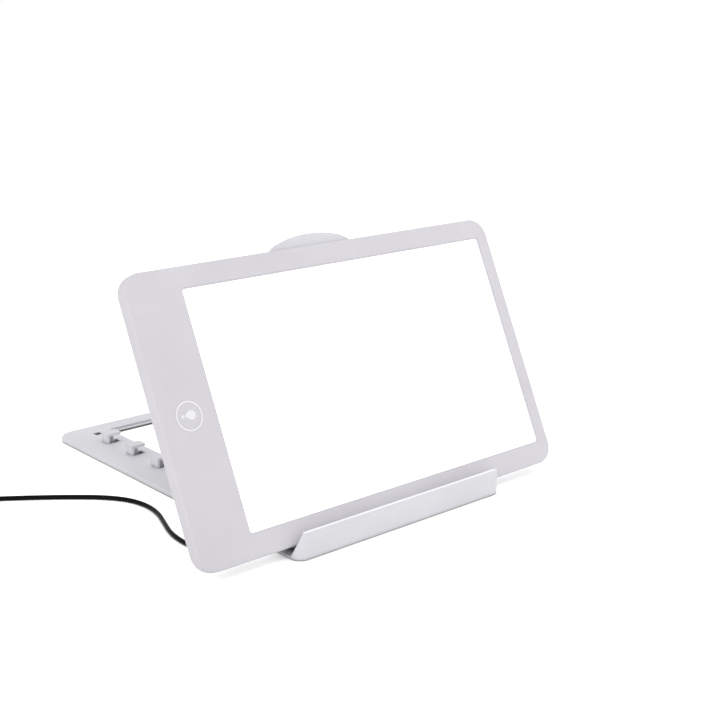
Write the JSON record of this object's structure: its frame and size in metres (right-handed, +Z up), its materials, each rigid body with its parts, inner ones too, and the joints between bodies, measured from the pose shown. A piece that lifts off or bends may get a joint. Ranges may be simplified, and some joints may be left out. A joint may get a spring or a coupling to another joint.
{
  "type": "light therapy lamp",
  "caption": "Slim rectangular light panel with a touch key, leaning on a stand with a front lip, hinged support plate, prop leg and hooked base.",
  "frame": {"origin": "under the middle of the lamp on the surface it stands on, its lead left out", "axes": "+X to the right along the panel's width, +Y to the back, +Z up"},
  "size_m": [0.376, 0.3006, 0.1713],
  "materials": {
    "panel_shell": "fine satin moulded plastic, pale cool white",
    "stand_shell": "fine satin moulded plastic, pale cool white",
    "screen": "milky diffuser, lit",
    "clear_guide": "clear acrylic",
    "white_sheet": "matt white film",
    "circuit": "green solder mask",
    "led": "LED packages",
    "mark_print": "white print",
    "steel": "plain steel",
    "black_plastic": "black moulded plastic",
    "feet_rubber": "pale rubber",
    "lead_jacket": "soft black jacket"
  },
  "bodies": {
    "root": {"base_stand": "stand_shell", "rubber_feet": "feet_rubber", "hinge_pins": "steel", "lead_floor": "lead_jacket", "lead_coil": "lead_jacket", "lead_tie": "black_plastic", "lead_tail": "lead_jacket", "usb_grip": "black_plastic", "usb_shell": "steel"},
    "support": {"support_plate": "stand_shell", "leg_pins": "steel", "lead_plug": "black_plastic", "strain_relief": "black_plastic", "lead_rise": "lead_jacket"},
    "prop_leg": {"prop_leg": "stand_shell"},
    "panel": {"front_bezel": "panel_shell", "back_cover": "panel_shell", "diffuser": "screen", "light_guide": "clear_guide", "reflector_sheet": "white_sheet", "led_strip": "circuit", "led_chips": "led", "control_board": "circuit", "touch_sensor": "steel", "touch_mark": "mark_print", "power_socket": "black_plastic", "case_screws": "steel"}
  },
  "joints": [
    {"name": "support_tilt", "type": "hinge", "parent": "root", "child": "support", "pos_m": [0, -0.12141, 0.00554], "axis": [1, 0, 0], "range_deg": [0, 26]},
    {"name": "prop_leg_swing", "type": "hinge", "parent": "support", "child": "prop_leg", "pos_m": [0, -0.05737, 0.13683], "axis": [1, 0, 0], "range_deg": [-52, 0]},
    {"name": "panel_lift", "type": "slide", "parent": "support", "child": "panel", "axis": [0, 0.4384, 0.8988], "range_m": [0, 0.06]}
  ],
  "couplings": [
    {"joint": "prop_leg_swing", "follows": "support_tilt", "ratio": -2}
  ]
}
